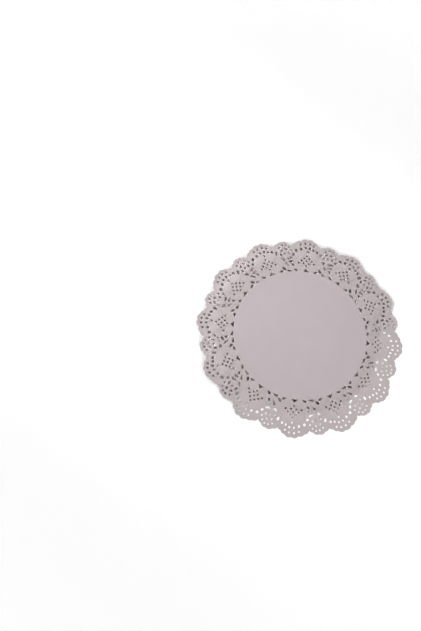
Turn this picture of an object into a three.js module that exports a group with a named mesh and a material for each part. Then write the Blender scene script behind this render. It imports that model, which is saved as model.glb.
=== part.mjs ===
// A round paper doily, lying flat: one thin sheet with a plain round middle, a cut lace border
// and a scalloped rim. The border is one repeat, a heart beside a small rosette, set twelve
// times round the sheet. Millimetres and degrees, +Z up, the underside on Z = 0 and the middle
// of the sheet on the Z axis, with a heart on each of the X and Y axes.
import * as THREE from 'three';

// Driving dimensions
const SHEET_THICKNESS = 1;
const REPEATS = 12;
const REPEAT_STEP = 360 / REPEATS;

// Steps that a round stretch is drawn in
const LOBE_STEPS = 4;
const ROUND_STEPS = 6;
const WIDE_ROUND_STEPS = 8;
const WIDE_FROM = 3;

// Each place is given by its radius from the sheet's middle and by its turn, the angle clockwise
// from the middle line of the heart, seen from above.

// The rim is a chain of round lobes, each an arc about its own centre, that meet in notches.
// The first six lie round the tip of the heart and the other four round the rosette.
const RIM_LOBES = [
  { turn: -7.0, radius: 121.8, size: 6.5 },
  { turn: -4.8, radius: 124.7, size: 6.2 },
  { turn: -1.6, radius: 127.5, size: 6.0 },
  { turn: 1.5, radius: 127.7, size: 5.7 },
  { turn: 3.8, radius: 124.8, size: 5.7 },
  { turn: 6.0, radius: 120.7, size: 5.9 },
  { turn: 10.6, radius: 121.4, size: 5.7 },
  { turn: 13.3, radius: 124.0, size: 5.9 },
  { turn: 15.4, radius: 123.8, size: 5.7 },
  { turn: 17.6, radius: 120.6, size: 5.7 },
];

// The tent cut under the heart's point: a triangle whose apex points at the rim, and whose sides
// are drawn in at their middles
const TENT = { radius: 86.1, height: 3.7, width: 7.4, hollow: 0.3 };

// The other cuts of 3 mm and more. Each is as long as length along its own line and as wide as
// width across its middle. The line leans clockwise from the outward radius by lean, and the cut
// is fuller at the end that the lean points to, and finer at the other, by its taper.
const CUTS = [
  // the ring of leaves and drops round the plain middle
  { radius: 87.5, turn: -8.0, length: 5.2, width: 2.2, lean: -65, taper: 0.6 },
  { radius: 87.3, turn: 8.5, length: 5.0, width: 2.2, lean: 70, taper: 0.6 },
  { radius: 86.9, turn: 16.2, length: 6.8, width: 2.2, lean: -82, taper: 0.8 },
  { radius: 90.9, turn: 11.7, length: 5.2, width: 2.8, lean: -44, taper: 0 },
  // the stem between two hearts
  { radius: 95.2, turn: -10.7, length: 3.8, width: 2.2, lean: -36, taper: 0.2 },
  { radius: 100.2, turn: -11.8, length: 5.2, width: 2.5, lean: 73, taper: 0.1 },
  { radius: 105.1, turn: -12.4, length: 6.4, width: 2.2, lean: 74, taper: 0.3 },
  { radius: 96.4, turn: -14.8, length: 7.0, width: 1.8, lean: -37, taper: 0.6 },
  { radius: 104.0, turn: 12.4, length: 5.2, width: 3.0, lean: 120, taper: 0.6 },
  // the arch over the heart
  { radius: 110.3, turn: -9.5, length: 3.9, width: 2.8, lean: 30, taper: 0 },
  { radius: 116.3, turn: -7.4, length: 3.9, width: 3.4, lean: 10, taper: 0 },
  { radius: 118.5, turn: -4.1, length: 3.6, width: 2.9, lean: 0, taper: 0 },
  { radius: 120.8, turn: -1.1, length: 3.0, width: 2.3, lean: -20, taper: 0 },
  { radius: 120.6, turn: 1.6, length: 3.2, width: 2.4, lean: 20, taper: 0 },
  { radius: 118.4, turn: 3.9, length: 3.3, width: 2.5, lean: 5, taper: 0 },
  { radius: 117.0, turn: 6.3, length: 3.1, width: 3.0, lean: -20, taper: 0 },
  { radius: 113.4, turn: 9.1, length: 5.2, width: 2.9, lean: 15, taper: 0.2 },
  // the four petals of the rosette
  { radius: 112.5, turn: -12.6, length: 4.0, width: 2.2, lean: -17, taper: 0 },
  { radius: 118.6, turn: -14.2, length: 3.5, width: 2.3, lean: -45, taper: 0 },
  { radius: 116.9, turn: -17.1, length: 3.9, width: 2.3, lean: 43, taper: 0 },
  { radius: 110.8, turn: -18.2, length: 4.0, width: 2.3, lean: -4, taper: 0 },
];

// The point at a radius and a turn, with the first heart on the +Y axis
function placed(radius, turn) {
  const angle = THREE.MathUtils.degToRad(turn);
  return new THREE.Vector2(radius * Math.sin(angle), radius * Math.cos(angle));
}

// The outline of one cut, turned with its repeat, run the other way round from the rim's. Its
// straight sides stand a little outside the oval, so that they take in the same area.
function cutOutline(cut, repeatTurn) {
  const steps = Math.min(cut.length, cut.width) < WIDE_FROM ? ROUND_STEPS : WIDE_ROUND_STEPS;
  const stepAngle = (2 * Math.PI) / steps;
  const swell = Math.sqrt(stepAngle / Math.sin(stepAngle));
  const middle = placed(cut.radius, cut.turn + repeatTurn);
  const along = placed(swell, cut.turn + repeatTurn + cut.lean);
  const across = new THREE.Vector2(-along.y, along.x);
  const points = [];
  for (let step = 0; step < steps; step += 1) {
    const angle = step * stepAngle;
    const reach = (cut.length / 2) * Math.cos(angle);
    const spread = (cut.width / 2) * Math.sin(angle) * (1 + cut.taper * Math.cos(angle));
    points.push(middle.clone().addScaledVector(along, reach).addScaledVector(across, spread));
  }
  return points;
}

// The outline of the tent, turned with its repeat: each corner, and the middle of the side after it
function tentOutline(repeatTurn) {
  const outward = placed(1, repeatTurn);
  const sideways = new THREE.Vector2(outward.y, -outward.x);
  const foot = placed(TENT.radius, repeatTurn);
  const middle = foot.clone().addScaledVector(outward, TENT.height / 3);
  const corners = [
    foot.clone().addScaledVector(sideways, TENT.width / 2),
    foot.clone().addScaledVector(outward, TENT.height),
    foot.clone().addScaledVector(sideways, -TENT.width / 2),
  ];
  const points = [];
  corners.forEach((corner, index) => {
    const halfway = corner.clone().lerp(corners[(index + 1) % corners.length], 0.5);
    const inward = middle.clone().sub(halfway).setLength(TENT.hollow);
    points.push(corner, halfway.add(inward));
  });
  return points;
}

// The notch where two neighbouring lobes meet: the outer crossing of their circles
function notch(lobe, next) {
  const gap = next.centre.clone().sub(lobe.centre);
  const distance = gap.length();
  const along = (distance ** 2 + lobe.size ** 2 - next.size ** 2) / (2 * distance);
  const outward = new THREE.Vector2(-gap.y, gap.x).divideScalar(distance);
  const rise = Math.sqrt(lobe.size ** 2 - along ** 2);
  const foot = lobe.centre.clone().addScaledVector(gap, along / distance);
  return foot.addScaledVector(outward, rise);
}

// The whole rim: each lobe's arc from the notch before it to the notch after it
function rimOutline() {
  const lobes = [];
  for (let repeat = 0; repeat < REPEATS; repeat += 1) {
    for (const lobe of RIM_LOBES) {
      const centre = placed(lobe.radius, lobe.turn + repeat * REPEAT_STEP);
      lobes.push({ centre, size: lobe.size });
    }
  }
  const points = [];
  lobes.forEach((lobe, index) => {
    const before = lobes[(index + lobes.length - 1) % lobes.length];
    const after = lobes[(index + 1) % lobes.length];
    const start = notch(before, lobe).sub(lobe.centre);
    const end = notch(lobe, after).sub(lobe.centre);
    const sweep = start.angle() - end.angle();
    const arc = THREE.MathUtils.euclideanModulo(sweep, 2 * Math.PI);
    for (let step = 0; step < LOBE_STEPS; step += 1) {
      const angle = start.angle() - (arc * step) / LOBE_STEPS;
      const spoke = new THREE.Vector2(Math.cos(angle), Math.sin(angle));
      points.push(lobe.centre.clone().addScaledVector(spoke, lobe.size));
    }
  });
  return points;
}

// The sheet: the rim's outline with every cut of every repeat through it
function sheetGeometry() {
  const sheet = new THREE.Shape(rimOutline());
  for (let repeat = 0; repeat < REPEATS; repeat += 1) {
    const repeatTurn = repeat * REPEAT_STEP;
    sheet.holes.push(new THREE.Path(tentOutline(repeatTurn)));
    for (const cut of CUTS) {
      sheet.holes.push(new THREE.Path(cutOutline(cut, repeatTurn)));
    }
  }
  return new THREE.ExtrudeGeometry(sheet, { depth: SHEET_THICKNESS, bevelEnabled: false });
}

// Dull uncoated paper in a pale warm grey
const paper = new THREE.MeshStandardMaterial({ color: '#beb4b8', roughness: 0.85, metalness: 0 });

const doily = new THREE.Mesh(sheetGeometry(), paper);
doily.name = 'doily';

const part = new THREE.Group();
part.add(doily);

export default part;
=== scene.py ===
"""A round paper doily, embossed and punched from one sheet, lying right side up on a pale floor.

The border is one repeat, a heart beside a small rosette, set twelve times round the sheet. The
lace is charted in millimetres, and in degrees clockwise from the middle line of a heart, seen
from above. Meshes are in metres, with a heart on each of the X and Y axes.
"""

from __future__ import annotations

import logging
import math
from collections.abc import Iterable
from dataclasses import dataclass, replace
from enum import Enum
from functools import cached_property

import bpy
import numpy as np
from mathutils import Matrix, Vector
from mathutils.geometry import delaunay_2d_cdt


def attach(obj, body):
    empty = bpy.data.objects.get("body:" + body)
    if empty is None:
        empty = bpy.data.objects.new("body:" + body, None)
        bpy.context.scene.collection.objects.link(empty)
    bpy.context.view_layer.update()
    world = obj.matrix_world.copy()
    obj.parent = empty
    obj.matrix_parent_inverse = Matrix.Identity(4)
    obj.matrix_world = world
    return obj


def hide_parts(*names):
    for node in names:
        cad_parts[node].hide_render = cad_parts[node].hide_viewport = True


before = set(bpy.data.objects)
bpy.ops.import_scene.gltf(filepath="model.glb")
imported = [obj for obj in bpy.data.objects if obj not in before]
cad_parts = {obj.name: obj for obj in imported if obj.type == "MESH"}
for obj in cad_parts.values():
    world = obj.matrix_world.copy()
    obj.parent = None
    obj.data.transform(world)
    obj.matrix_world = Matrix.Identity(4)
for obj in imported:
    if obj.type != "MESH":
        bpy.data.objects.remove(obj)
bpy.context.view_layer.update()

LOG = logging.getLogger("doily")
MM = 0.001
REPEATS = 12
REPEAT_STEP = 360 / REPEATS
FULL_TURN = 2 * math.pi
# The repeats, counted from the first, whose cuts and lobes can reach into its wedge
NEARBY_REPEATS = (-1, 0, 1, 2)
# Those of them whose hearts reach into it
NEARBY_HEARTS = (0, 1)
# The fewest corners that a cut is drawn with
LEAST_CORNERS = 10
# The height and the side of an even triangle whose corners lie 1 from its middle
TRIANGLE_HEIGHT = 1.5
TRIANGLE_SIDE = math.sqrt(3)
# What the triangulation fills, and how close together two points are taken as one
WHOLE_HULL = 0
SAME_PLACE = 1e-6


def polar(radius: float | np.ndarray, turn: float | np.ndarray) -> np.ndarray:
    """Gives the point at a radius and a turn.

    Args:
        radius: Distance from the sheet's middle.
        turn: Degrees clockwise from the +Y axis, seen from above.

    Returns:
        The X and Y of the point, or one row for each point.
    """
    angle = np.radians(turn)
    return np.stack((radius * np.sin(angle), radius * np.cos(angle)), axis=-1)


def turn_of(points: np.ndarray) -> np.ndarray:
    """Gives each point's turn, in degrees clockwise from the +Y axis, seen from above."""
    return np.degrees(np.arctan2(points[:, 0], points[:, 1]))


def direction_of(points: np.ndarray) -> np.ndarray:
    """Gives each point's direction, in degrees anticlockwise from the +X axis."""
    return np.degrees(np.arctan2(points[:, 1], points[:, 0]))


def wrapped(angle: np.ndarray) -> np.ndarray:
    """Brings angles in degrees to between -180 and 180."""
    return (angle + 180) % 360 - 180


def blend(first: float | np.ndarray, second: float | np.ndarray, share: np.ndarray) -> np.ndarray:
    """Gives the value that lies a share of the way from the first to the second."""
    return first + (second - first) * share


def smooth(low: float, high: float, value: np.ndarray) -> np.ndarray:
    """Eases from 0 at low to 1 at high.

    Args:
        low: Where the rise starts.
        high: Where the rise ends.
        value: Where to measure it.

    Returns:
        The share of the rise at each value.
    """
    share = np.clip((value - low) / (high - low), 0, 1)
    return share * share * (3 - 2 * share)


def ridge(distance: np.ndarray, spread: float) -> np.ndarray:
    """Gives the height of a rounded ridge, 1 on its line and falling off over its spread."""
    return np.exp(-((distance / spread) ** 2))


def outline_distance(points: np.ndarray, outline: np.ndarray) -> np.ndarray:
    """Measures how far each point lies from a closed outline.

    Args:
        points: One row for each point.
        outline: The outline's corners in order, the first not repeated.

    Returns:
        The distance of each point, negative inside the outline.
    """
    ends = np.roll(outline, -1, axis=0)
    side = ends - outline
    offset = points[:, None, :] - outline[None, :, :]
    share = np.clip((offset * side).sum(2) / (side * side).sum(1), 0, 1)
    nearest = np.linalg.norm(offset - share[:, :, None] * side, axis=2).min(1)
    rises = (outline[:, 1] > points[:, None, 1]) != (ends[:, 1] > points[:, None, 1])
    level = np.where(side[:, 1] == 0, 1, side[:, 1])
    crossing = outline[:, 0] + side[:, 0] * (points[:, None, 1] - outline[:, 1]) / level
    inside = (rises & (points[:, None, 0] < crossing)).sum(1) % 2 == 1
    return np.where(inside, -nearest, nearest)


def triangle_areas(corners: np.ndarray) -> np.ndarray:
    """Gives the area of each flat triangle from its three corners."""
    first, second = corners[:, 1] - corners[:, 0], corners[:, 2] - corners[:, 0]
    return np.abs(first[:, 0] * second[:, 1] - first[:, 1] * second[:, 0]) / 2


class Punch(Enum):
    """What the die does at one place of the lace."""

    THROUGH = "through"
    DIMPLE = "dimple"


@dataclass(frozen=True)
class Cut:
    """One cut of the lace, an oval or drop placed from the sheet's middle.

    The cut is as long as length along its own line, which leans clockwise from the outward radius,
    and as wide as width across its middle. Its taper makes it fuller at the end that the lean
    points to, and a fullness above 2 squares its ends.
    """

    radius: float
    turn: float
    length: float
    width: float
    lean: float = 0.0
    taper: float = 0.0
    fullness: float = 2.0
    punch: Punch = Punch.THROUGH

    def turned(self, turn: float) -> Cut:
        """Gives the same cut further round the sheet."""
        return replace(self, turn=self.turn + turn)

    @property
    def middle(self) -> np.ndarray:
        """The cut's middle, as X and Y."""
        return polar(self.radius, self.turn)

    @property
    def reach(self) -> float:
        """The radius of a circle that holds the cut."""
        return max(self.length, self.width) / 2

    def form(self, angle: np.ndarray) -> tuple[np.ndarray, np.ndarray]:
        """Gives the cut's shape on its own axes.

        Args:
            angle: Angles round the cut, in radians.

        Returns:
            How far the edge lies along the cut's line, and how far across it.
        """
        power = 2 / self.fullness
        along = np.sign(np.cos(angle)) * np.abs(np.cos(angle)) ** power
        across = np.sign(np.sin(angle)) * np.abs(np.sin(angle)) ** power
        return self.length / 2 * along, self.width / 2 * across * (1 + self.taper * along)

    def outline(self, spacing: float) -> np.ndarray:
        """Gives the cut's edge.

        Args:
            spacing: About how far apart its corners are.

        Returns:
            The corners in order, one row for each.
        """
        girth = math.pi * (self.length + self.width) / 2
        count = max(LEAST_CORNERS, 2 * round(girth / spacing / 2))
        along, across = self.form(np.arange(count) * FULL_TURN / count)
        line = polar(1, self.turn + self.lean)
        side = np.array((-line[1], line[0]))
        return self.middle + along[:, None] * line + across[:, None] * side


@dataclass(frozen=True)
class Tent(Cut):
    """A three-pointed cut with hollow sides, its first point along the cut's line."""

    hollow: float = 0.72

    def form(self, angle: np.ndarray) -> tuple[np.ndarray, np.ndarray]:
        """Gives the tent's shape on its own axes.

        Args:
            angle: Angles round the tent, in radians.

        Returns:
            How far the edge lies along the tent's line, and how far across it.
        """
        along = 2 * np.cos(angle) + self.hollow * np.cos(2 * angle)
        across = 2 * np.sin(angle) - self.hollow * np.sin(2 * angle)
        size = 2 + self.hollow
        return (
            along * self.length / (TRIANGLE_HEIGHT * size),
            across * self.width / (TRIANGLE_SIDE * size),
        )


@dataclass(frozen=True)
class Lobe:
    """One round lobe of the rim: an arc of this size about a centre."""

    turn: float
    radius: float
    size: float

    def turned(self, turn: float) -> Lobe:
        """Gives the same lobe further round the sheet."""
        return replace(self, turn=self.turn + turn)

    def rim_radius(self, turn: np.ndarray) -> np.ndarray:
        """Gives how far out the lobe reaches.

        Args:
            turn: Where it is measured, in degrees.

        Returns:
            The radius along each turn, or 0 where the lobe doesn't lie.
        """
        away = np.radians(turn - self.turn)
        inside = self.size**2 - (self.radius * np.sin(away)) ** 2
        return np.where(inside > 0, self.radius * np.cos(away) + np.sqrt(np.abs(inside)), 0)


@dataclass(frozen=True)
class Lace:
    """The chart of one repeat: its cuts, its heart and rosette, and the lobes of its rim.

    The rows of the lattice give each hole's place across it, in steps of the pitch. The heart's
    outline is a cubed sine across, and the sum of a few cosine waves outwards.
    """

    ring: tuple[Cut, ...] = (
        Tent(radius=87.3, turn=0.0, length=3.7, width=7.2),
        Cut(radius=87.5, turn=-8.0, length=5.2, width=2.2, lean=-65, taper=0.6),
        Cut(radius=87.3, turn=8.5, length=5.0, width=2.2, lean=70, taper=0.6),
        Cut(radius=86.9, turn=16.2, length=6.8, width=2.2, lean=-82, taper=0.8),
        Cut(radius=90.9, turn=11.7, length=5.2, width=2.8, lean=-44, fullness=2.4),
    )
    stem: tuple[Cut, ...] = (
        Cut(radius=95.2, turn=-10.7, length=3.8, width=2.2, lean=-36, taper=0.2),
        Cut(radius=100.2, turn=-11.8, length=5.2, width=2.5, lean=73, taper=0.1, fullness=2.8),
        Cut(radius=105.1, turn=-12.4, length=6.4, width=2.2, lean=74, taper=0.3, fullness=2.8),
        Cut(radius=96.4, turn=-14.8, length=7.0, width=1.8, lean=-37, taper=0.6),
        Cut(radius=104.0, turn=12.4, length=5.2, width=3.0, lean=120, taper=0.6),
    )
    arch: tuple[Cut, ...] = (
        Cut(radius=110.3, turn=-9.5, length=3.9, width=2.8, lean=30),
        Cut(radius=116.3, turn=-7.4, length=3.9, width=3.4, lean=10),
        Cut(radius=118.5, turn=-4.1, length=3.6, width=2.9),
        Cut(radius=120.8, turn=-1.1, length=3.0, width=2.3, lean=-20),
        Cut(radius=120.6, turn=1.6, length=3.2, width=2.4, lean=20),
        Cut(radius=118.4, turn=3.9, length=3.3, width=2.5, lean=5),
        Cut(radius=117.0, turn=6.3, length=3.1, width=3.0, lean=-20),
        Cut(radius=113.4, turn=9.1, length=5.2, width=2.9, lean=15, taper=0.2),
        Cut(radius=114.7, turn=0.4, length=2.6, width=2.6),
    )
    petals: tuple[Cut, ...] = (
        Cut(radius=112.5, turn=-12.6, length=4.0, width=2.2, lean=-17),
        Cut(radius=118.6, turn=-14.2, length=3.5, width=2.3, lean=-45),
        Cut(radius=116.9, turn=-17.1, length=3.9, width=2.3, lean=43),
        Cut(radius=110.8, turn=-18.2, length=4.0, width=2.3, lean=-4),
    )
    rosette: Cut = Cut(radius=111.9, turn=-15.4, length=2.3, width=2.3)
    beads: tuple[Cut, ...] = (
        Cut(radius=116.7, turn=-10.8, length=2.3, width=2.3),
        Cut(radius=121.5, turn=-12.1, length=2.4, width=2.3),
        Cut(radius=124.6, turn=-14.0, length=2.3, width=2.3),
        Cut(radius=124.3, turn=-16.1, length=2.3, width=2.3),
        Cut(radius=121.6, turn=-18.3, length=2.4, width=2.3),
    )
    picots: tuple[Cut, ...] = (
        Cut(radius=125.3, turn=-4.1, length=2.7, width=2.5),
        Cut(radius=127.4, turn=-1.4, length=2.6, width=2.6),
        Cut(radius=127.3, turn=1.5, length=2.6, width=2.6),
        Cut(radius=125.0, turn=3.9, length=2.7, width=2.5),
    )
    lobes: tuple[Lobe, ...] = (
        Lobe(turn=-7.0, radius=121.8, size=6.5),
        Lobe(turn=-4.8, radius=124.7, size=6.2),
        Lobe(turn=-1.6, radius=127.5, size=6.0),
        Lobe(turn=1.5, radius=127.7, size=5.7),
        Lobe(turn=3.8, radius=124.8, size=5.7),
        Lobe(turn=6.0, radius=120.7, size=5.9),
        Lobe(turn=10.6, radius=121.4, size=5.7),
        Lobe(turn=13.3, radius=124.0, size=5.9),
        Lobe(turn=15.4, radius=123.8, size=5.7),
        Lobe(turn=17.6, radius=120.6, size=5.7),
    )
    lattice_top: float = 108.4
    lattice_rise: float = 3.49
    lattice_pitch: float = 3.35
    lattice_hole: float = 2.1
    lattice_rows: tuple[tuple[int, ...], ...] = (
        (0,),
        (-1, 1),
        (-2, 0, 2),
        (-3, -1, 1, 3),
        (-2, 0, 2),
    )
    heart_middle: float = 105.3
    heart_size: float = 0.87
    heart_across: float = 16.0
    heart_waves: tuple[float, ...] = (13.0, -5.0, -2.0, -1.0)
    opening: float = 0.2

    def lattice(self) -> list[Cut]:
        """Gives the diamond of small round cuts inside the heart.

        Returns:
            The cuts of each row in turn, the outer ones of the last row as dimples only.
        """
        cuts = []
        for row, places in enumerate(self.lattice_rows):
            last = row == len(self.lattice_rows) - 1
            for place in places:
                across = place * self.lattice_pitch
                outward = self.lattice_top - row * self.lattice_rise
                cuts.append(
                    Cut(
                        radius=math.hypot(across, outward),
                        turn=math.degrees(math.atan2(across, outward)),
                        length=self.lattice_hole,
                        width=self.lattice_hole,
                        punch=Punch.DIMPLE if last and place else Punch.THROUGH,
                    )
                )
        return cuts

    def cuts(self) -> list[Cut]:
        """Gives every cut of the repeat, dimples too, as far open as the die leaves it."""
        groups = (self.ring, self.stem, self.arch, self.petals, (self.rosette,), self.beads)
        return [
            replace(cut, length=cut.length + self.opening, width=cut.width + self.opening)
            for group in (*groups, self.picots, self.lattice())
            for cut in group
        ]

    def heart(self, step: int = 0, scale: float = 1.0, corners: int = 72) -> np.ndarray:
        """Gives a heart's outline, its point towards the sheet's middle.

        Args:
            step: How many repeats round it stands.
            scale: Its size, as a share of the heart's own.
            corners: How many corners the outline has.

        Returns:
            The corners in order, one row for each.
        """
        angle = np.arange(corners) * FULL_TURN / corners
        waves = sum(
            share * np.cos(order * angle) for order, share in enumerate(self.heart_waves, start=1)
        )
        size = self.heart_size * scale
        across = size * (self.heart_across * np.sin(angle) ** 3)
        outward = size * waves + self.heart_middle
        turn = np.degrees(np.arctan2(across, outward)) + step * REPEAT_STEP
        return polar(np.hypot(across, outward), turn)

    def rim_radius(self, turn: np.ndarray) -> np.ndarray:
        """Gives the rim's radius, from the furthest of the lobes there.

        Args:
            turn: Where it is measured, in degrees.

        Returns:
            The radius along each turn.
        """
        lobes = [lobe.turned(step * REPEAT_STEP) for step in NEARBY_REPEATS for lobe in self.lobes]
        return np.max([lobe.rim_radius(turn) for lobe in lobes], axis=0)


@dataclass(frozen=True)
class Embossing:
    """How high the right side stands above the sheet's plain level, in millimetres.

    A slope is given by the two distances between which it rises, from the edge of the dimple, the
    heart or the rosette. The rim is measured from points set close together along it, and only
    for what lies beyond one radius.
    """

    lace: Lace
    lip_height: float = 0.17
    lip_place: float = 0.5
    lip_spread: float = 0.5
    dimple_depth: float = 0.24
    dimple_slope: tuple[float, float] = (0.2, -0.9)
    heart_rise: float = 0.34
    heart_slope: tuple[float, float] = (0.3, -2.6)
    heart_rib: float = 0.17
    heart_rib_spread: float = 0.7
    rosette_rise: float = 0.26
    rosette_radius: float = 9.0
    rosette_slope: tuple[float, float] = (0.8, -1.6)
    petal_rise: float = 0.1
    petal_count: int = 6
    petal_bearing: float = 50.0
    petal_place: float = 5.4
    petal_spread: float = 2.2
    rim_bead: float = 0.2
    rim_bead_place: float = 1.1
    rim_bead_spread: float = 0.6
    band_rise: float = 0.05
    band_slope: float = 1.0
    band_beads: tuple[float, float] = (80.4, 84.3)
    band_bead: float = 0.06
    band_bead_spread: float = 0.55
    edge_spacing: float = 0.5
    rim_turns: tuple[float, float] = (-30.0, 70.0)
    rim_points: int = 1200
    rim_from: float = 110.0

    def punch_gap(self, points: np.ndarray, punch: Punch, reach: float = 4.0) -> np.ndarray:
        """Measures how far each point lies from the nearest cut, or from the nearest dimple.

        Args:
            points: One row for each point.
            punch: Which of the two is measured, in the neighbouring repeats too.
            reach: The furthest distance that is told apart.

        Returns:
            The distance of each point, negative inside the cut or dimple.
        """
        gap = np.full(len(points), reach)
        for cut in (cut for cut in self.lace.cuts() if cut.punch is punch):
            for step in NEARBY_REPEATS:
                copy = cut.turned(step * REPEAT_STEP)
                near = np.linalg.norm(points - copy.middle, axis=1) < copy.reach + reach
                if near.any():
                    away = outline_distance(points[near], copy.outline(self.edge_spacing))
                    gap[near] = np.minimum(gap[near], away)
        return gap

    def heart_gap(self, points: np.ndarray, reach: float = 6.0) -> np.ndarray:
        """Gives how far each point lies from the outline of the nearest heart.

        Args:
            points: One row for each point.
            reach: The furthest distance that is told apart.

        Returns:
            The distance of each point, negative inside the heart.
        """
        gaps = [outline_distance(points, self.lace.heart(step)) for step in NEARBY_HEARTS]
        return np.clip(np.min(gaps, axis=0), -reach, reach)

    def rim_gap(self, points: np.ndarray, reach: float = 6.0) -> np.ndarray:
        """Gives how far inside the rim each point lies.

        Args:
            points: One row for each point.
            reach: The furthest distance that is told apart.

        Returns:
            The distance of each point.
        """
        turns = np.linspace(*self.rim_turns, self.rim_points)
        edge = polar(self.lace.rim_radius(turns), turns)
        gap = np.full(len(points), reach)
        outer = np.linalg.norm(points, axis=1) > self.rim_from
        gap[outer] = np.linalg.norm(points[outer][:, None] - edge[None], axis=2).min(1)
        return np.minimum(gap, reach)

    def rosettes(self, points: np.ndarray) -> np.ndarray:
        """Gives the low crown of the rosette, with petals round it.

        Args:
            points: One row for each point.

        Returns:
            The height at each point.
        """
        centre = self.lace.rosette.turned(REPEAT_STEP)
        offset = points - centre.middle
        away = np.linalg.norm(offset, axis=1)
        bearing = turn_of(offset) - centre.turn
        foot, top = (self.rosette_radius + place for place in self.rosette_slope)
        crown = self.rosette_rise * smooth(foot, top, away)
        waves = np.cos(np.radians(self.petal_count * (bearing - self.petal_bearing)))
        return crown + self.petal_rise * (waves * ridge(away - self.petal_place, self.petal_spread))

    def bands(self, points: np.ndarray) -> np.ndarray:
        """Gives the raised band round the plain middle, with a fine bead on each side of it.

        Args:
            points: One row for each point.

        Returns:
            The height at each point.
        """
        radius = np.linalg.norm(points, axis=1)
        low, high = self.band_beads
        rise = smooth(low - self.band_slope, low, radius)
        fall = smooth(high, high + self.band_slope, radius)
        height = self.band_rise * (rise - fall)
        for place in self.band_beads:
            height += self.band_bead * ridge(radius - place, self.band_bead_spread)
        return height

    def measures(self, points: np.ndarray) -> dict[str, np.ndarray]:
        """Gives the height and the distances at each point, for the mesh and for the paper.

        Args:
            points: One row for each point.

        Returns:
            The values at each point under their attribute names.
        """
        cut, heart = self.punch_gap(points, Punch.THROUGH), self.heart_gap(points)
        dimple, rim = self.punch_gap(points, Punch.DIMPLE), self.rim_gap(points)
        height = self.rosettes(points) + self.bands(points)
        height += self.lip_height * ridge(cut - self.lip_place, self.lip_spread)
        height -= self.dimple_depth * smooth(*self.dimple_slope, dimple)
        height += self.heart_rise * smooth(*self.heart_slope, heart)
        height += self.heart_rib * ridge(heart, self.heart_rib_spread)
        height += self.rim_bead * ridge(rim - self.rim_bead_place, self.rim_bead_spread)
        return {"relief": height, "cut_gap": cut, "heart_gap": heart, "rim_gap": rim}


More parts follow.
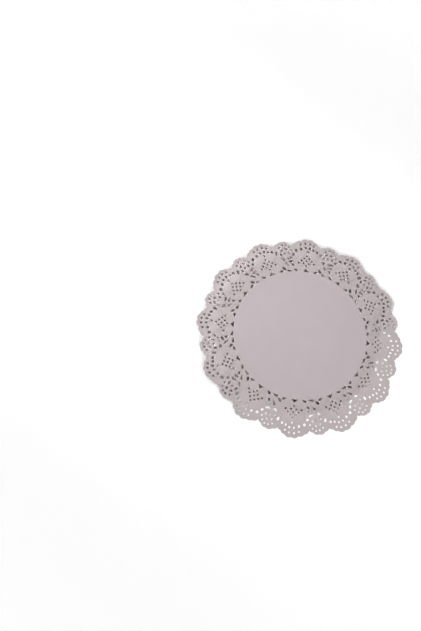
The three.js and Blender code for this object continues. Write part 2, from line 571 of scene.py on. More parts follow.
@dataclass(frozen=True)
class Wedge:
    """One repeat of the sheet as a flat triangulated wedge, from the middle to the rim.

    Its two straight seams run between the cuts, and their points lie at the same radii, so that
    the next wedge meets it point for point. Rows of points run beside every edge and line of the
    embossing, at the distances that are given as rings, and the fill lies evenly between them. A
    point too close to an edge or to another one is left out. All sizes are in millimetres.
    """

    lace: Lace
    embossing: Embossing
    lace_radius: float = 79.0
    seam_turn: float = 4.85
    seam_spacing: float = 1.0
    edge_spacing: float = 0.62
    edge_rings: tuple[float, ...] = (0.45, 1.1)
    edge_growth: float = 0.5
    rim_spacing: float = 0.8
    rim_points: int = 1201
    rim_rings: tuple[float, ...] = (0.55, 1.1, 1.7)
    band_rings: tuple[float, ...] = (-0.8, 0.0, 0.8)
    band_points: int = 36
    rosette_rings: tuple[float, ...] = (2.6, 4.2, 5.6, 7.4, 8.4, 9.6)
    rosette_points_per_mm: int = 6
    heart_scales: tuple[float, ...] = (1.0, 0.92, 1.07)
    heart_corners: int = 96
    fill_spacing: float = 1.3
    fill_reach: float = 140.0
    plain_step: float = 1.6
    plain_growth: float = 1.16
    plain_rings: int = 30
    margin: float = 0.3
    lace_apart: float = 0.5
    plain_apart: float = 1.0
    cut_reach: float = 6.0
    least_area: float = 0.002

    @cached_property
    def cuts(self) -> list[Cut]:
        """Every cut between the two seams."""
        behind = self.seam_turn
        return [cut.turned(REPEAT_STEP) if cut.turn < behind else cut for cut in self.lace.cuts()]

    @cached_property
    def holes(self) -> list[np.ndarray]:
        """The outline of every cut that goes through the sheet."""
        return [cut.outline(self.edge_spacing) for cut in self.cuts if cut.punch is Punch.THROUGH]

    def rim(self) -> np.ndarray:
        """Gives the rim from seam to seam, both seam points among it.

        Returns:
            The points in order, one row for each.
        """
        fine = np.linspace(self.seam_turn, self.seam_turn + REPEAT_STEP, self.rim_points)
        path = polar(self.lace.rim_radius(fine), fine)
        walked = np.concatenate(((0,), np.cumsum(np.linalg.norm(np.diff(path, axis=0), axis=1))))
        count = round(walked[-1] / self.rim_spacing)
        places = np.linspace(0, walked[-1], count + 1)
        return np.stack([np.interp(places, walked, path[:, axis]) for axis in (0, 1)], axis=1)

    def radii(self) -> np.ndarray:
        """Gives the radii of the rings in the plain middle.

        Returns:
            The radii from the lace inwards, closer together towards the lace.
        """
        steps = self.plain_step * self.plain_growth ** np.arange(self.plain_rings)
        rings = self.lace_radius - np.cumsum(steps)
        return rings[rings > steps]

    def seam_radii(self) -> np.ndarray:
        """Gives the radii of a seam's points.

        Returns:
            The radii, the middle and the rim not among them.
        """
        rim = float(self.lace.rim_radius(np.array((self.seam_turn,)))[0])
        count = round((rim - self.lace_radius) / self.seam_spacing)
        return np.concatenate((self.radii(), np.linspace(self.lace_radius, rim, count + 1)[:-1]))

    def seam(self, turn: float) -> np.ndarray:
        """Gives the points of the seam at a turn, from the middle outwards."""
        return polar(np.sort(self.seam_radii()), turn)

    def turns_between(self, count: int) -> np.ndarray:
        """Gives turns spread evenly from seam to seam, half a step clear of both."""
        return self.seam_turn + REPEAT_STEP * (np.arange(count) + 0.5) / count

    def near(self, points: np.ndarray, hole: np.ndarray) -> np.ndarray:
        """Tells which points are near enough to a cut to be measured from its outline."""
        return np.linalg.norm(points - hole.mean(0), axis=1) < self.cut_reach

    def inside(self, points: np.ndarray) -> np.ndarray:
        """Tells which points lie in the wedge, a margin clear of its edges and cuts.

        Args:
            points: One row for each point.

        Returns:
            True for each point that does.
        """
        radius, turn = np.linalg.norm(points, axis=1), turn_of(points)
        slack = np.degrees(self.margin / np.maximum(radius, self.margin))
        keep = (turn > self.seam_turn + slack) & (turn < self.seam_turn + REPEAT_STEP - slack)
        keep &= radius < self.lace.rim_radius(turn) - self.margin
        for hole in self.holes:
            near = self.near(points, hole)
            keep[near] &= outline_distance(points[near], hole) > self.margin
        return keep

    def guides(self) -> Iterable[np.ndarray]:
        """Gives rows of points along every line of the embossing, the finest first.

        Yields:
            One array of points for each row.
        """
        for ring in self.edge_rings:
            for cut in self.cuts:
                grown = replace(cut, length=cut.length + 2 * ring, width=cut.width + 2 * ring)
                yield grown.outline(self.edge_spacing * (1 + self.edge_growth * ring))
        rim = self.rim()
        along = np.gradient(rim, axis=0)
        inward = np.stack((along[:, 1], -along[:, 0]), axis=1)
        inward /= np.linalg.norm(inward, axis=1)[:, None]
        for ring in self.rim_rings:
            yield rim + inward * ring
        for place in self.embossing.band_beads:
            for ring in self.band_rings:
                yield polar(place + ring, self.turns_between(self.band_points))
        centre = self.lace.rosette.turned(REPEAT_STEP).middle
        for radius in self.rosette_rings:
            count = round(radius * self.rosette_points_per_mm)
            yield centre + polar(radius, np.arange(count) * 360 / count)
        for step in NEARBY_HEARTS:
            for scale in self.heart_scales:
                yield self.lace.heart(step, scale, self.heart_corners)

    def fill(self) -> np.ndarray:
        """Gives an even spread of points over the lace, and rings of them over the plain middle.

        Returns:
            The points, one row for each.
        """
        rows = []
        rise = self.fill_spacing * math.sqrt(3) / 2
        for index, level in enumerate(np.arange(0, self.fill_reach, rise)):
            shift = self.fill_spacing / 2 * (index % 2)
            across = np.arange(0, self.fill_reach, self.fill_spacing) + shift
            rows.append(np.stack((across, np.full(len(across), level)), axis=1))
        spread = np.concatenate(rows)
        spread = spread[np.linalg.norm(spread, axis=1) > self.lace_radius]
        rings = []
        radii = self.radii()
        for radius, step in zip(radii, -np.diff(radii, append=0)):
            count = max(1, round(math.radians(REPEAT_STEP) * radius / step))
            rings.append(polar(radius, self.turns_between(count)))
        return np.concatenate((spread, *rings))

    def outlines(self) -> list[np.ndarray]:
        """Gives the loops that the triangles keep to.

        Returns:
            The wedge's own edge, then the edge of each cut.
        """
        near, far = self.seam(self.seam_turn), self.seam(self.seam_turn + REPEAT_STEP)
        border = np.concatenate((np.zeros((1, 2)), near, self.rim(), far[::-1]))
        return [border, *self.holes]

    def scattered(self, kept: np.ndarray) -> np.ndarray:
        """Adds the points of the guides and the fill that aren't too close to others.

        Args:
            kept: The points that are there already.

        Returns:
            All the points, those first.
        """
        for batch in (*self.guides(), self.fill()):
            batch = batch[self.inside(batch)]
            gap = np.linalg.norm(batch[:, None] - kept[None], axis=2).min(1)
            plain = np.linalg.norm(batch, axis=1) < self.lace_radius
            apart = np.where(plain, self.plain_apart, self.lace_apart)
            kept = np.concatenate((kept, batch[gap > apart]))
        return kept

    def triangulate(self) -> tuple[np.ndarray, list[tuple[int, ...]]]:
        """Joins all the points into triangles that leave the cuts open.

        Returns:
            The points, one row for each, and the triangles as indices into them.
        """
        outlines = self.outlines()
        edges, start = [], 0
        for outline in outlines:
            size = len(outline)
            edges += [(start + index, start + (index + 1) % size) for index in range(size)]
            start += size
        given = [Vector(point) for point in self.scattered(np.concatenate(outlines))]
        places, _, triangles, *_ = delaunay_2d_cdt(given, edges, [], WHOLE_HULL, SAME_PLACE)
        points = np.array([tuple(place) for place in places])
        faces = [tuple(triangle) for triangle in triangles]
        corners = points[np.array(faces)]
        middles = corners.mean(1)
        inside = outline_distance(middles, outlines[0]) < 0
        inside &= triangle_areas(corners) > self.least_area
        for hole in self.holes:
            near = self.near(middles, hole)
            inside[near] &= outline_distance(middles[near], hole) > 0
        return points, [face for face, keep in zip(faces, inside) if keep]

    def mesh(self) -> bpy.types.Mesh:
        """Builds the embossed wedge.

        Returns:
            The mesh in metres, with its measures in millimetres as attributes.
        """
        points, faces = self.triangulate()
        measures = self.embossing.measures(points)
        mesh = bpy.data.meshes.new("wedge")
        mesh.from_pydata(np.column_stack((points, measures["relief"])) * MM, [], faces)
        for name, values in measures.items():
            attribute = mesh.attributes.new(name, "FLOAT", "POINT")
            attribute.data.foreach_set("value", values.astype(np.float32))
        return mesh


@dataclass(frozen=True)
class RoundRepeat:
    """A node tree that sets copies of a wedge round the Z axis and welds them into one mesh.

    The weld takes points this far apart, in metres, as one.
    """

    name: str = "round repeat"
    weld: float = 0.00002

    def tree(self) -> bpy.types.NodeTree:
        """Builds the tree.

        Returns:
            The tree, with the copies, the weld and the material as its named inputs.
        """
        tree = bpy.data.node_groups.new(self.name, "GeometryNodeTree")
        sockets = (
            ("Wedge", "INPUT", "NodeSocketGeometry"),
            ("Copies", "INPUT", "NodeSocketInt"),
            ("Weld", "INPUT", "NodeSocketFloat"),
            ("Paper", "INPUT", "NodeSocketMaterial"),
            ("Sheet", "OUTPUT", "NodeSocketGeometry"),
        )
        for name, side, kind in sockets:
            tree.interface.new_socket(name, in_out=side, socket_type=kind)
        made = {
            name: tree.nodes.new(kind)
            for name, kind in (
                ("given", "NodeGroupInput"),
                ("places", "GeometryNodePoints"),
                ("index", "GeometryNodeInputIndex"),
                ("step", "ShaderNodeMath"),
                ("angle", "ShaderNodeMath"),
                ("turn", "ShaderNodeCombineXYZ"),
                ("copies", "GeometryNodeInstanceOnPoints"),
                ("real", "GeometryNodeRealizeInstances"),
                ("welded", "GeometryNodeMergeByDistance"),
                ("smooth", "GeometryNodeSetShadeSmooth"),
                ("dressed", "GeometryNodeSetMaterial"),
                ("out", "NodeGroupOutput"),
            )
        }
        made["step"].operation = "DIVIDE"
        made["step"].inputs[0].default_value = FULL_TURN
        made["angle"].operation = "MULTIPLY"
        links = (
            ("given", "Copies", "places", "Count"),
            ("given", "Copies", "step", 1),
            ("index", "Index", "angle", 0),
            ("step", "Value", "angle", 1),
            ("angle", "Value", "turn", "Z"),
            ("places", "Points", "copies", "Points"),
            ("given", "Wedge", "copies", "Instance"),
            ("turn", "Vector", "copies", "Rotation"),
            ("copies", "Instances", "real", "Geometry"),
            ("real", "Geometry", "welded", "Geometry"),
            ("given", "Weld", "welded", "Distance"),
            ("welded", "Geometry", "smooth", "Geometry"),
            ("smooth", "Geometry", "dressed", "Geometry"),
            ("given", "Paper", "dressed", "Material"),
            ("dressed", "Geometry", "out", "Sheet"),
        )
        for source, output, target, socket in links:
            tree.links.new(made[source].outputs[output], made[target].inputs[socket])
        return tree

    def apply(
        self, wedge: bpy.types.Mesh, copies: int, paper: bpy.types.Material
    ) -> bpy.types.Mesh:
        """Runs the tree on a wedge.

        Args:
            wedge: The mesh to repeat.
            copies: How many of it stand round the axis.
            paper: The material of the whole.

        Returns:
            The whole as one plain mesh.
        """
        carrier = bpy.data.objects.new("carrier", wedge)
        bpy.context.scene.collection.objects.link(carrier)
        tree = self.tree()
        modifier = carrier.modifiers.new("repeat", "NODES")
        modifier.node_group = tree
        values = {"Copies": copies, "Weld": self.weld, "Paper": paper}
        for item in tree.interface.items_tree:
            if item.in_out == "INPUT" and item.name in values:
                modifier[item.identifier] = values[item.name]
        mesh = flattened(carrier)
        bpy.data.objects.remove(carrier)
        return mesh


def flattened(source: bpy.types.Object) -> bpy.types.Mesh:
    """Gives an object's mesh with its modifiers worked in, as a plain mesh of its own."""
    graph = bpy.context.evaluated_depsgraph_get()
    return bpy.data.meshes.new_from_object(
        source.evaluated_get(graph), preserve_all_data_layers=True, depsgraph=graph
    )


@dataclass(frozen=True)
class Wave:
    """One wave round the sheet: its share of the height, how many times it comes, its phase."""

    share: float
    count: int
    phase: float

    def at(self, angle: np.ndarray) -> np.ndarray:
        """Gives the wave's share of the height at each angle, which is in radians."""
        return self.share * np.sin(self.count * angle + self.phase)


@dataclass(frozen=True)
class Lie:
    """How the sheet lies: its middle stands a little off the floor, its border curls down to it.

    Heights and radii are in millimetres, and directions are degrees from the +X axis. The sheet
    dips a little from its middle to a ring, and falls from there to the rim between two radii. On
    one side, over a wide stretch about one direction, the border lies flat and a share of its
    embossing is flattened. The rest of the border is cockled by waves that rise and fade between
    given radii. The burr is how far the edge of a cut is turned down.
    """

    middle_height: float = 3.5
    ring_height: float = 3.3
    low_ring_height: float = 2.0
    ring_radius: float = 90.0
    dish_power: int = 3
    rim_height: float = 1.2
    low_height: float = 0.06
    low_direction: float = -54.0
    low_reach: tuple[float, float] = (57.0, 93.0)
    fall: tuple[float, float] = (106.0, 131.0)
    low_fall: tuple[float, float] = (88.0, 105.0)
    cockle: float = 0.3
    cockle_waves: tuple[Wave, ...] = (Wave(1.0, 3, 0.7), Wave(0.7, 5, 2.1), Wave(0.4, 8, 4.0))
    cockle_rise: tuple[float, float] = (60.0, 105.0)
    cockle_fade: tuple[float, float] = (110.0, 128.0)
    cockle_faded: float = 0.8
    burr: float = 0.44
    burr_spread: float = 0.38
    low_burr: float = 0.03
    flattening: float = 0.4

    def low(self, points: np.ndarray) -> np.ndarray:
        """Gives how far down the rim is in each point's direction, from 0 to 1."""
        away = np.abs(wrapped(direction_of(points) - self.low_direction))
        return 1 - smooth(*self.low_reach, away)

    def relief_left(self, points: np.ndarray) -> np.ndarray:
        """Gives the share of the embossing that is left at each point."""
        return 1 - self.flattening * self.low(points)

    def height(self, points: np.ndarray, cut_gap: np.ndarray) -> np.ndarray:
        """Gives the height of the sheet's level, turned down at the edge of every cut.

        Args:
            points: One row for each point, in millimetres.
            cut_gap: How far each point lies from the nearest cut, in millimetres.

        Returns:
            The height at each point, in millimetres.
        """
        radius, low = np.linalg.norm(points, axis=1), self.low(points)
        outward = np.minimum(radius / self.ring_radius, 1)
        ring = blend(self.ring_height, self.low_ring_height, low)
        dish = blend(self.middle_height, ring, outward**self.dish_power)
        rim = blend(self.rim_height, self.low_height, low)
        start, end = (blend(high, near, low) for high, near in zip(self.fall, self.low_fall))
        fall = (rim - ring) * smooth(start, end, radius)
        angle = np.radians(direction_of(points))
        waves = sum(wave.at(angle) for wave in self.cockle_waves)
        fade = 1 - self.cockle_faded * smooth(*self.cockle_fade, radius)
        spread = smooth(*self.cockle_rise, radius) * fade * (1 - low)
        burr = blend(self.burr, self.low_burr, low) * ridge(cut_gap, self.burr_spread)
        return dish + fall + self.cockle * waves * spread - burr


class Signal:
    """A shader socket that Python's operators add Math nodes to."""

    def __init__(self, socket: bpy.types.NodeSocket) -> None:
        """Wraps a socket."""
        self.socket = socket

    def _math(self, operation: str, first: Signal | float, second: Signal | float) -> Signal:
        """Adds a Math node.

        Args:
            operation: The node's operation.
            first: Its first value or link.
            second: Its second value or link.

        Returns:
            The node's result.
        """
        tree = self.socket.id_data
        node = tree.nodes.new("ShaderNodeMath")
        node.operation = operation
        for slot, value in zip(node.inputs, (first, second)):
            if isinstance(value, Signal):
                tree.links.new(value.socket, slot)
            else:
                slot.default_value = value
        return Signal(node.outputs[0])

    def __add__(self, other: Signal | float) -> Signal:
        """Adds."""
        return self._math("ADD", self, other)

    __radd__ = __add__

    def __mul__(self, other: Signal | float) -> Signal:
        """Multiplies."""
        return self._math("MULTIPLY", self, other)

    __rmul__ = __mul__

    def __sub__(self, other: Signal | float) -> Signal:
        """Takes the other away."""
        return self._math("SUBTRACT", self, other)

    def __rsub__(self, other: Signal | float) -> Signal:
        """Is taken away from the other."""
        return self._math("SUBTRACT", other, self)

    def __truediv__(self, other: Signal | float) -> Signal:
        """Divides."""
        return self._math("DIVIDE", self, other)

    def sine(self) -> Signal:
        """Gives the sine of the value in radians."""
        return self._math("SINE", self, 0.0)

    def angle(self, across: Signal) -> Signal:
        """Gives the angle of a direction whose rise is this value."""
        return self._math("ARCTAN2", self, across)


class Shader:
    """A material's node tree, with one method that adds any node."""

    # The Mix node's sockets for colours, by number because its other kinds share their names
    MIX_SHARE, MIX_FIRST, MIX_SECOND, MIXED = 0, 6, 7, 2

    def __init__(self, name: str) -> None:
        """Starts a material with a principled shader.

        Args:
            name: The material's name.
        """
        self.material = bpy.data.materials.new(name)
        self.material.use_nodes = True
        self.tree = self.material.node_tree
        self.surface = self.tree.nodes["Principled BSDF"]

    def add(
        self,
        kind: str,
        settings: dict[str, object] | None = None,
        inputs: dict[str | int, object] | None = None,
        output: str | int = 0,
    ) -> Signal:
        """Adds a node.

        Args:
            kind: The node's type.
            settings: What is set on the node first.
            inputs: The value or link of each socket.
            output: The output to hand back.

        Returns:
            The wanted output.
        """
        node = self.tree.nodes.new(kind)
        for name, value in (settings or {}).items():
            setattr(node, name, value)
        for name, value in (inputs or {}).items():
            self.set(node.inputs[name], value)
        return Signal(node.outputs[output])

    def set(self, slot: bpy.types.NodeSocket, value: object) -> None:
        """Links or sets one socket.

        Args:
            slot: The socket.
            value: A link, or the value itself.
        """
        if isinstance(value, Signal):
            self.tree.links.new(value.socket, slot)
        else:
            slot.default_value = value

    def attribute(self, name: str) -> Signal:
        """Reads one of the mesh's own attributes."""
        return self.add("ShaderNodeAttribute", {"attribute_name": name}, output="Fac")

    def rise(self, value: Signal, low: float, high: float) -> Signal:
        """Eases from 0 at low to 1 at high.

        Args:
            value: What is measured.
            low: Where the rise starts.
            high: Where the rise ends.

        Returns:
            The share of the rise.
        """
        inputs = {"Value": value, "From Min": float(low), "From Max": float(high)}
        return self.add("ShaderNodeMapRange", {"interpolation_type": "SMOOTHSTEP"}, inputs)

    def line(self, value: Signal, place: float, spread: float) -> Signal:
        """Gives a rounded line, 1 at its place and 0 beyond its spread on both sides."""
        return self.rise(value, place - spread, place) * self.rise(value, place + spread, place)

    def mix(self, share: Signal, first: object, second: object) -> Signal:
        """Mixes two colours.

        Args:
            share: How much of the second there is.
            first: A colour or a link.
            second: A colour or a link.

        Returns:
            The mixed colour.
        """
        inputs = {self.MIX_SHARE: share, self.MIX_FIRST: first, self.MIX_SECOND: second}
        return self.add("ShaderNodeMix", {"data_type": "RGBA"}, inputs, self.MIXED)


@dataclass(frozen=True)
class PressedLine:
    """A fine raised line beside an edge of the lace.

    The edge is named by the attribute that holds the distance from it. The line's place is that
    distance, its spread is half its width, and all three sizes are in millimetres.
    """

    edge: str
    place: float
    spread: float
    height: float


@dataclass(frozen=True)
class PaperFinish:
    """Dull uncoated paper, a little cloudy, pressed with fine lines that follow the lace.

    Painted shade makes it darker and browner along its cut edges and cut walls, and darker in the
    hollows of the embossing. Painted light makes it a little paler on the raised pattern. Over the
    lace it is a little darker and less pink, partly painted shade of the embossing. Sizes are in
    millimetres. The noise has its scales in cells for each metre.
    """

    # The lace's tone is a little darker and less pink than the plain middle's, partly painted shade
    # of its embossing and cuts
    plain: tuple[float, float, float] = (0.432, 0.379, 0.397)
    lace: tuple[float, float, float] = (0.424, 0.373, 0.375)
    lace_start: tuple[float, float] = (78.0, 92.0)
    # Painted shade: the darker, browner colour laid along every cut edge and cut wall, standing in
    # for the shade of the turned-down edge
    edge: tuple[float, float, float] = (0.31, 0.26, 0.26)
    painted_edge_shade_width: float = 0.5
    cloud: float = 0.05
    cloud_scale: float = 42.0
    cloud_share: float = 1.3
    fibre_scale: float = 900.0
    fibre_share: float = 0.7
    noise_detail: float = 3.0
    # Painted shade and light by the embossing's height: the base colour is darkened in the hollows
    # and lightened where the pattern is raised
    level_painted_shade: float = 0.975
    raised_painted_light: float = 0.09
    roughness: float = 0.86
    specular: float = 0.3
    tooth: float = 0.012
    lines: tuple[PressedLine, ...] = (
        PressedLine("cut_gap", place=0.4, spread=0.3, height=0.06),
        PressedLine("heart_gap", place=0.0, spread=0.35, height=0.12),
        PressedLine("heart_gap", place=-1.5, spread=0.3, height=0.072),
        PressedLine("rim_gap", place=0.9, spread=0.35, height=0.1),
        PressedLine("rim_gap", place=1.9, spread=0.3, height=0.06),
    )
    flute: float = 0.035
    flute_count: int = 264
    flute_band: tuple[float, float] = (80.8, 84.0)
    flute_end: float = 0.4
    ground: float = 0.022
    ground_count: int = 600
    ground_start: tuple[float, float] = (86.0, 88.0)
    ground_clear: tuple[tuple[str, float, float], ...] = (
        ("cut_gap", 0.8, 1.3),
        ("heart_gap", 0.8, 1.4),
        ("rim_gap", 2.4, 3.0),
    )

    def material(self) -> bpy.types.Material:
        """Builds the material.

        Returns:
            The paper.
        """
        shader = Shader("paper")
        place = shader.add("ShaderNodeTexCoord", output="Object")
        length = {"operation": "LENGTH"}
        radius = shader.add("ShaderNodeVectorMath", length, {0: place}, "Value") / MM
        clouds = self.noise(shader, place, self.cloud_scale)
        fibres = self.noise(shader, place, self.fibre_scale)
        # Partly painted shade: the tone changes from the plain middle's to the lace's darker one
        in_lace = shader.rise(radius, *self.lace_start)
        tone = shader.mix(in_lace, (*self.plain, 1), (*self.lace, 1))
        # Painted shade along the cut edges and cut walls, out to the given width
        painted_edge_shade_share = 1 - shader.rise(shader.attribute("cut_gap"), 0.0, self.painted_edge_shade_width)
        tone = shader.mix(painted_edge_shade_share, tone, (*self.edge, 1))
        mottle = self.cloud_share * clouds + self.fibre_share * fibres
        shade = 1 - self.cloud + self.cloud * mottle
        # Painted shade in the hollows and painted light on the raised pattern, by the relief
        # attribute
        shade = shade * (self.level_painted_shade + shader.attribute("relief") * self.raised_painted_light)
        inputs = {0: tone, "Scale": shade}
        tinted = shader.add("ShaderNodeVectorMath", {"operation": "SCALE"}, inputs, "Vector")
        shader.set(shader.surface.inputs["Base Color"], tinted)
        shader.set(shader.surface.inputs["Roughness"], self.roughness)
        shader.set(shader.surface.inputs["Specular IOR Level"], self.specular)
        height = self.tooth * fibres + self.pressed(shader, place, radius)
        inputs = {"Height": height, "Distance": MM, "Strength": 1.0}
        shader.set(shader.surface.inputs["Normal"], shader.add("ShaderNodeBump", None, inputs))
        return shader.material

    def noise(self, shader: Shader, place: Signal, scale: float) -> Signal:
        """Adds a noise pattern over the sheet.

        Args:
            shader: The material's tree.
            place: The coordinates.
            scale: Cells for each metre.

        Returns:
            The pattern's value.
        """
        inputs = {"Vector": place, "Scale": scale, "Detail": self.noise_detail}
        return shader.add("ShaderNodeTexNoise", {"noise_dimensions": "3D"}, inputs)

    def pressed(self, shader: Shader, place: Signal, radius: Signal) -> Signal:
        """Adds the fine pressed lines.

        They are a lip round each cut, a double line round each heart, a double line along the rim,
        flutes in the band round the plain middle, and a fine ribbed ground between the hearts.

        Args:
            shader: The material's tree.
            place: The coordinates.
            radius: The distance from the sheet's middle, in millimetres.

        Returns:
            The lines' height in millimetres.
        """
        axes = shader.add("ShaderNodeSeparateXYZ", None, {0: place}, "X")
        across, along = (Signal(axes.socket.node.outputs[name]) for name in ("X", "Y"))
        angle = along.angle(across)
        low, high = self.flute_band
        band = shader.rise(radius, low - self.flute_end, low)
        band = band * shader.rise(radius, high, high - self.flute_end)
        height = self.flute * (angle * self.flute_count).sine() * band
        gaps = {name: shader.attribute(name) for name in ("cut_gap", "heart_gap", "rim_gap")}
        for line in self.lines:
            height += line.height * shader.line(gaps[line.edge], line.place, line.spread)
        ribs = self.ground * (angle * self.ground_count).sine()
        ribs = ribs * shader.rise(radius, *self.ground_start)
        for name, start, end in self.ground_clear:
            ribs = ribs * shader.rise(gaps[name], start, end)
        return height + ribs


@dataclass(frozen=True)
class Doily:
    """The sheet itself: twelve repeats of embossed lace round a plain middle.

    The paper's thickness is in millimetres. Edges that are sharper than the crease angle, in
    degrees, are shaded as sharp.
    """

    lace: Lace = Lace()
    finish: PaperFinish = PaperFinish()
    lie: Lie = Lie()
    thickness: float = 0.14
    crease_angle: float = 50.0

    def build(self) -> bpy.types.Object:
        """Builds the sheet, lays it down and gives it its thickness.

        Returns:
            The finished piece.
        """
        wedge = Wedge(self.lace, Embossing(self.lace)).mesh()
        mesh = RoundRepeat().apply(wedge, REPEATS, self.finish.material())
        self.lay_down(mesh)
        piece = bpy.data.objects.new("doily_sheet", mesh)
        bpy.context.scene.collection.objects.link(piece)
        solid = piece.modifiers.new("thickness", "SOLIDIFY")
        solid.thickness = self.thickness * MM
        solid.offset = -1
        piece.data = flattened(piece)
        piece.modifiers.clear()
        self.settle(piece.data)
        piece.data.set_sharp_from_angle(angle=math.radians(self.crease_angle))
        return piece

    def lay_down(self, mesh: bpy.types.Mesh) -> None:
        """Lifts each point of the flat sheet to the height at which it lies.

        Args:
            mesh: The flat embossed sheet, in metres.
        """
        places = np.empty(len(mesh.vertices) * 3, np.float32)
        mesh.vertices.foreach_get("co", places)
        places = places.reshape(-1, 3)
        cut_gap = np.empty(len(places), np.float32)
        mesh.attributes["cut_gap"].data.foreach_get("value", cut_gap)
        places[:, 2] *= self.lie.relief_left(places[:, :2])
        places[:, 2] += self.lie.height(places[:, :2] / MM, cut_gap) * MM
        mesh.vertices.foreach_set("co", places.ravel())

    def settle(self, mesh: bpy.types.Mesh) -> None:
        """Lowers the sheet until its lowest point touches the floor."""
        lowest = min(vertex.co.z for vertex in mesh.vertices)
        mesh.transform(Matrix.Translation((0, 0, -lowest)))

    def flat_area(self, mesh: bpy.types.Mesh) -> float:
        """Gives the sheet's own area in square metres, the cuts taken off."""
        return sum(face.area for face in mesh.polygons) / 2

    def declare(self, piece: bpy.types.Object) -> None:
        """Hangs the piece under the root body, hides the doily's part from model.glb and works out
        the sheet's flat area.

        Args:
            piece: The finished piece.
        """
        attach(piece, "root")
        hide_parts("doily")
        self.flat_area(piece.data)


@dataclass(frozen=True)
class Softbox:
    """One soft light that looks at a place on the floor, from a direction in degrees from +X.

    Its sizes and places are in metres and its power in watts. A spread under 180 degrees stands
    for the grid in front of it, which keeps its light together.
    """

    direction: float
    elevation: float
    distance: float
    width: float
    height: float
    power: float
    spread: float = 180.0
    aim: tuple[float, float] = (0.0, 0.0)

    def build(self, name: str) -> None:
        """Hangs the light, out of sight itself, and turns it to its place.

        Args:
            name: The light's name.
        """
        data = bpy.data.lights.new(name, "AREA")
        data.shape = "RECTANGLE"
        data.size, data.size_y = self.width, self.height
        data.energy = self.power
        data.spread = math.radians(self.spread)
        turn, rise = math.radians(self.direction), math.radians(self.elevation)
        level = math.cos(rise)
        away = Vector((math.cos(turn) * level, math.sin(turn) * level, math.sin(rise)))
        lamp = bpy.data.objects.new(name, data)
        lamp.location = Vector((*self.aim, 0)) + away * self.distance
        lamp.rotation_euler = away.to_track_quat("Z", "Y").to_euler()
        lamp.visible_camera = False
        bpy.context.scene.collection.objects.link(lamp)


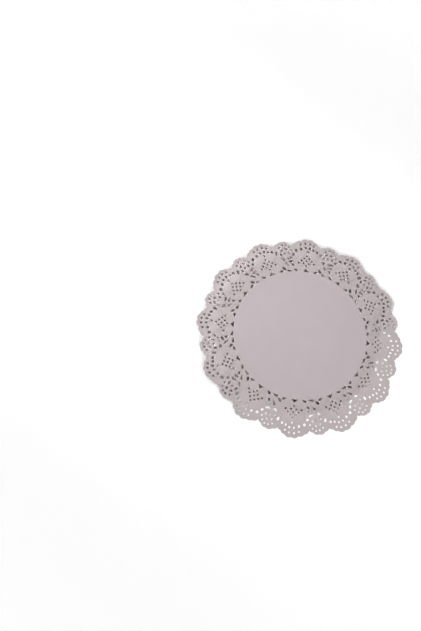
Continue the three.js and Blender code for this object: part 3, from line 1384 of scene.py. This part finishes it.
@dataclass(frozen=True)
class Studio:
    """The pale floor, the soft lights round it and the camera.

    Sizes are in metres and angles in degrees. The lens is given as it would be measured in the
    pixels of the picture's longer side.
    """

    floor_radius: float = 2.9
    floor_steps: int = 64
    floor_tone: float = 0.97
    floor_roughness: float = 0.9
    floor_specular: float = 0.1
    wall_height: float = 1.8
    wall_bend: float = 0.9
    bend_rows: int = 10
    air: float = 0.01
    softboxes: tuple[Softbox, ...] = (
        *(
            Softbox(direction, elevation=14, distance=2.5, width=2.4, height=0.35, power=58.5)
            for direction in (125, 215, 35, -55)
        ),
        Softbox(
            direction=150,
            elevation=20,
            distance=1.2,
            width=0.3,
            height=0.15,
            power=0.36,
            spread=22,
            aim=(-0.165, 0.095),
        ),
    )
    azimuth: float = -5.52
    elevation: float = 70.68
    roll: float = 13.28
    focal_pixels: float = 720.0
    frame_pixels: float = 631.0
    sensor: float = 36.0
    place: tuple[float, float, float] = (0.11441, -0.02410, 0.92090)

    def floor_mesh(self) -> bpy.types.Mesh:
        """Builds the floor's mesh, a round one that bends up into a wall a few metres away.

        Returns:
            The mesh.
        """
        bend = np.radians(np.linspace(0, 90, self.bend_rows))
        reach = self.floor_radius + self.wall_bend * np.sin(bend)
        rise = self.wall_bend * (1 - np.cos(bend))
        profile = [*zip(reach, rise), (reach[-1], self.wall_height)]
        steps = self.floor_steps
        angles = np.arange(steps) * FULL_TURN / steps
        points = [(r * math.cos(a), r * math.sin(a), z) for r, z in profile for a in angles]
        faces = [tuple(range(steps))]
        for row in range(len(profile) - 1):
            for step in range(steps):
                near, far = row * steps, (row + 1) * steps
                beside = (step + 1) % steps
                faces.append((near + step, far + step, far + beside, near + beside))
        mesh = bpy.data.meshes.new("floor")
        mesh.from_pydata(points, [], faces)
        mesh.shade_smooth()
        return mesh

    def floor(self) -> None:
        """Lays the pale floor."""
        shader = Shader("pale floor")
        shader.set(shader.surface.inputs["Base Color"], (*[self.floor_tone] * 3, 1))
        shader.set(shader.surface.inputs["Roughness"], self.floor_roughness)
        shader.set(shader.surface.inputs["Specular IOR Level"], self.floor_specular)
        floor = bpy.data.objects.new("floor", self.floor_mesh())
        floor.data.materials.append(shader.material)
        bpy.context.scene.collection.objects.link(floor)

    def light(self) -> None:
        """Sets the soft lights and the light of the air."""
        world = bpy.data.worlds.new("air")
        world.use_nodes = True
        world.node_tree.nodes["Background"].inputs["Color"].default_value = (1, 1, 1, 1)
        world.node_tree.nodes["Background"].inputs["Strength"].default_value = self.air
        bpy.context.scene.world = world
        for number, box in enumerate(self.softboxes, start=1):
            box.build(f"softbox_{number}")

    def camera(self) -> None:
        """Sets the camera at the photograph's viewing angle.

        The camera looks along its own axis, with the sheet off to one side of the picture, so its
        place is worked out from the sheet's place in the camera's own frame: right, up and ahead.
        """
        turn, rise, roll = (math.radians(a) for a in (self.azimuth, self.elevation, self.roll))
        back = Vector(
            (math.sin(turn) * math.cos(rise), -math.cos(turn) * math.cos(rise), math.sin(rise))
        )
        level = (-back).cross(Vector((0, 0, 1))).normalized()
        upright = level.cross(-back)
        right = math.cos(roll) * level + math.sin(roll) * upright
        up = -math.sin(roll) * level + math.cos(roll) * upright
        aside, above, ahead = self.place
        data = bpy.data.cameras.new("camera")
        data.sensor_width = self.sensor
        data.lens = self.sensor * self.focal_pixels / self.frame_pixels
        camera = bpy.data.objects.new("camera", data)
        turned = Matrix((right, up, back)).transposed().to_4x4()
        camera.matrix_world = Matrix.Translation(ahead * back - aside * right - above * up) @ turned
        bpy.context.scene.collection.objects.link(camera)
        bpy.context.scene.camera = camera

    def build(self) -> None:
        """Builds the whole studio, with plain colours in the picture."""
        self.floor()
        self.light()
        self.camera()
        bpy.context.scene.view_settings.view_transform = "Standard"


def main() -> None:
    """Builds the studio and the doily, and reports each piece."""
    logging.basicConfig(level=logging.INFO, format="%(message)s")
    Studio().build()
    doily = Doily()
    piece = doily.build()
    doily.declare(piece)
    triangles = sum(len(face.vertices) - 2 for face in piece.data.polygons)
    LOG.info("%s: %d triangles", piece.name, triangles)


if __name__ == "__main__":
    main()
